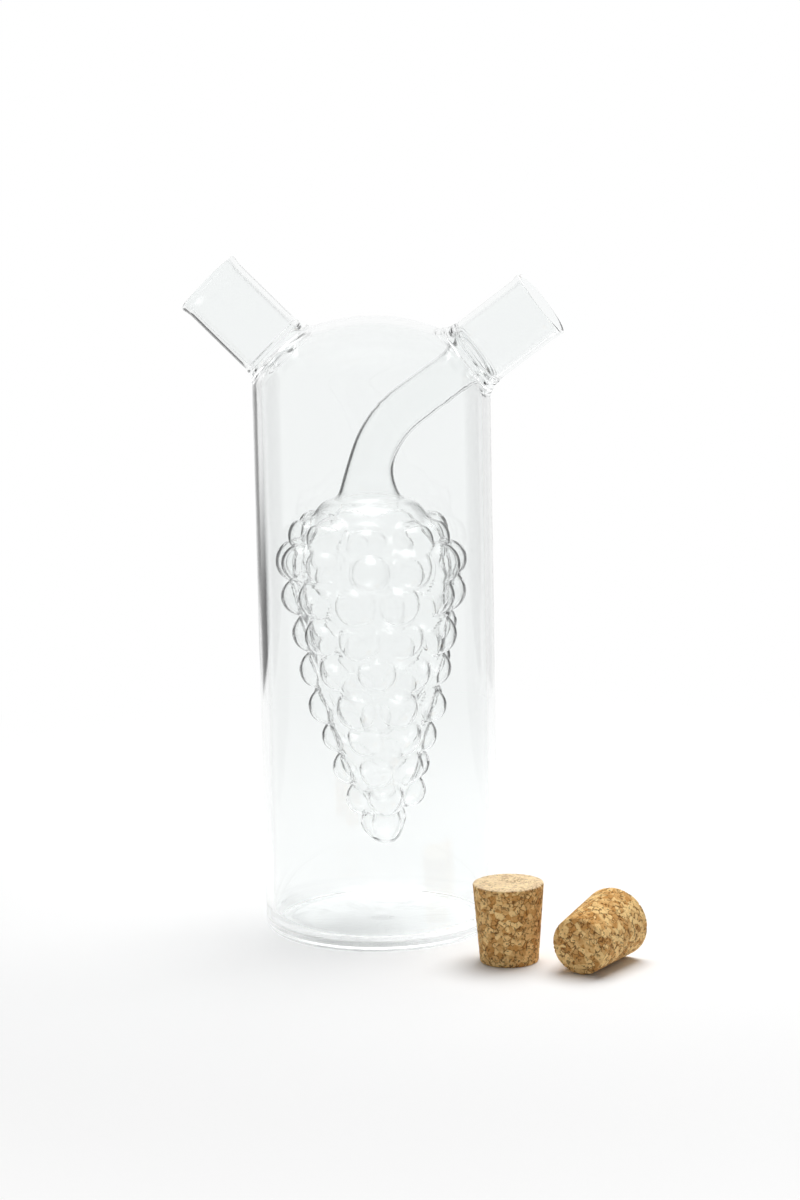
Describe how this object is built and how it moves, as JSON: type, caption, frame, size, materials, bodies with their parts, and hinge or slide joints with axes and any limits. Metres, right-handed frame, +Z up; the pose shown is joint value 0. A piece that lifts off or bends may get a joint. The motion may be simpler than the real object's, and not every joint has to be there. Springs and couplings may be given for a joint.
{
  "type": "oil and vinegar cruet",
  "caption": "Clear glass oil and vinegar cruet: domed cylinder with slanted necks, a hollow grape bunch hung inside on a stem tube, and tapered cork stoppers set down beside it.",
  "frame": {"origin": "middle of the vessel's underside, on the table", "axes": "+Z up along the vessel's axis, +X towards the neck that leads to the grape bunch, both necks in the XZ plane, +Y to the back"},
  "size_m": [0.1473, 0.0983, 0.2157],
  "materials": {
    "glass": "clear, fire-polished",
    "cork": "agglomerated cork, matt"
  },
  "bodies": {
    "vessel": {"body_tube": "glass", "base_pan": "glass", "left_neck": "glass", "right_neck": "glass", "stem_tube": "glass", "grape_vessel": "glass"},
    "standing_stopper": {"standing_cork": "cork"},
    "lying_stopper": {"lying_cork": "cork"}
  },
  "joints": [
    {"name": "standing_cork_lift", "type": "slide", "parent": "vessel", "child": "standing_stopper", "axis": [0, 0, 1], "range_m": [0, 0.24]},
    {"name": "lying_cork_lift", "type": "slide", "parent": "vessel", "child": "lying_stopper", "axis": [0, 0, 1], "range_m": [0, 0.24]}
  ]
}
